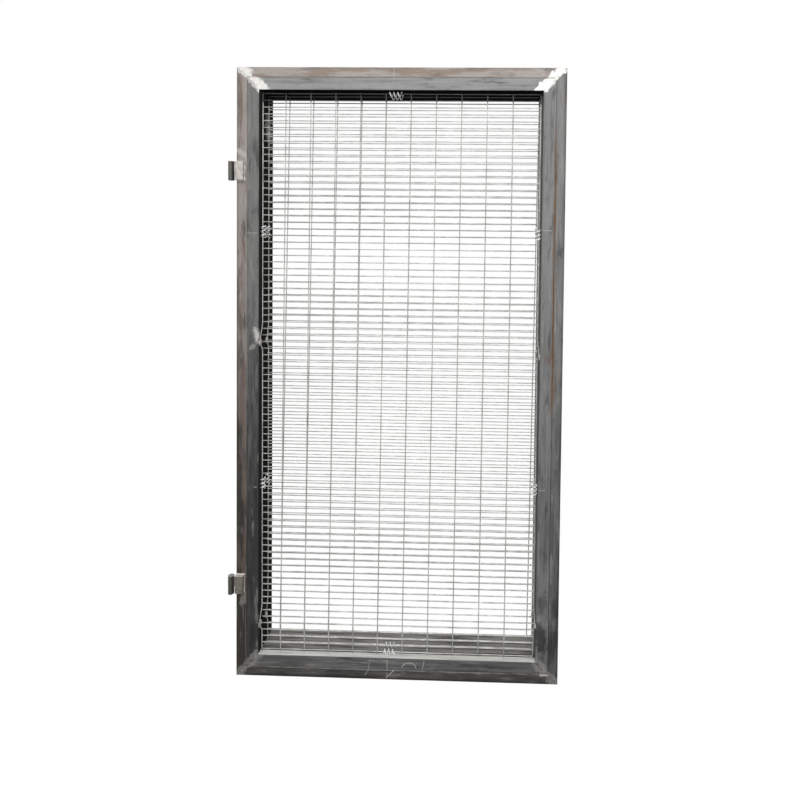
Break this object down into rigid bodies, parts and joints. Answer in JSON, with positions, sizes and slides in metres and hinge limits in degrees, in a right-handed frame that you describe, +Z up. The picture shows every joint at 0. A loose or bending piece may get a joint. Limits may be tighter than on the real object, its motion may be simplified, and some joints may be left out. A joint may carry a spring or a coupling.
{
  "type": "pedestrian gate",
  "caption": "Single swing gate leaf for pedestrians: mitred steel tube frame with two welded wire mats, spiral clips and two weld-on lift-off hinges.",
  "frame": {"origin": "middle of the lower hinge's flat weld face, which sits on the gate post", "axes": "+Z up; +X from the hinges to the lock side; +Y from the front of the leaf to its back"},
  "size_m": [1.318, 0.1585, 2.43],
  "materials": {
    "frame_steel": "hot rolled mill scale, unpainted, light rust and ground welds",
    "mat_wire": "drawn wire, dull zinc",
    "spiral_wire": "bright zinc coated wire",
    "weld_metal": "as welded",
    "hinge_steel": "bright machined steel"
  },
  "bodies": {
    "post_hinges": {"lower_hinge_post": "hinge_steel", "upper_hinge_post": "hinge_steel", "lower_hinge_pin": "hinge_steel", "upper_hinge_pin": "hinge_steel"},
    "leaf": {"outer_top_rail": "frame_steel", "outer_bottom_rail": "frame_steel", "outer_hinge_stile": "frame_steel", "outer_lock_stile": "frame_steel", "front_top_rail": "frame_steel", "front_bottom_rail": "frame_steel", "front_hinge_stile": "frame_steel", "front_lock_stile": "frame_steel", "rear_top_rail": "frame_steel", "rear_bottom_rail": "frame_steel", "rear_hinge_stile": "frame_steel", "rear_lock_stile": "frame_steel", "front_mat_uprights": "mat_wire", "front_mat_rows": "mat_wire", "rear_mat_uprights": "mat_wire", "rear_mat_rows": "mat_wire", "front_spiral_top": "spiral_wire", "front_spiral_bottom": "spiral_wire", "front_spiral_hinge_low": "spiral_wire", "front_spiral_hinge_high": "spiral_wire", "front_spiral_lock_low": "spiral_wire", "front_spiral_lock_high": "spiral_wire", "rear_spiral_top": "spiral_wire", "rear_spiral_bottom": "spiral_wire", "rear_spiral_hinge_low": "spiral_wire", "rear_spiral_hinge_high": "spiral_wire", "rear_spiral_lock_low": "spiral_wire", "rear_spiral_lock_high": "spiral_wire", "front_tacks": "weld_metal", "rear_tacks": "weld_metal", "lower_hinge_leaf": "hinge_steel", "upper_hinge_leaf": "hinge_steel"}
  },
  "joints": [
    {"name": "leaf_swing", "type": "hinge", "parent": "post_hinges", "child": "leaf", "pos_m": [0.0095, 0, 0], "axis": [0, 0, -1], "range_deg": [0, 110]}
  ]
}
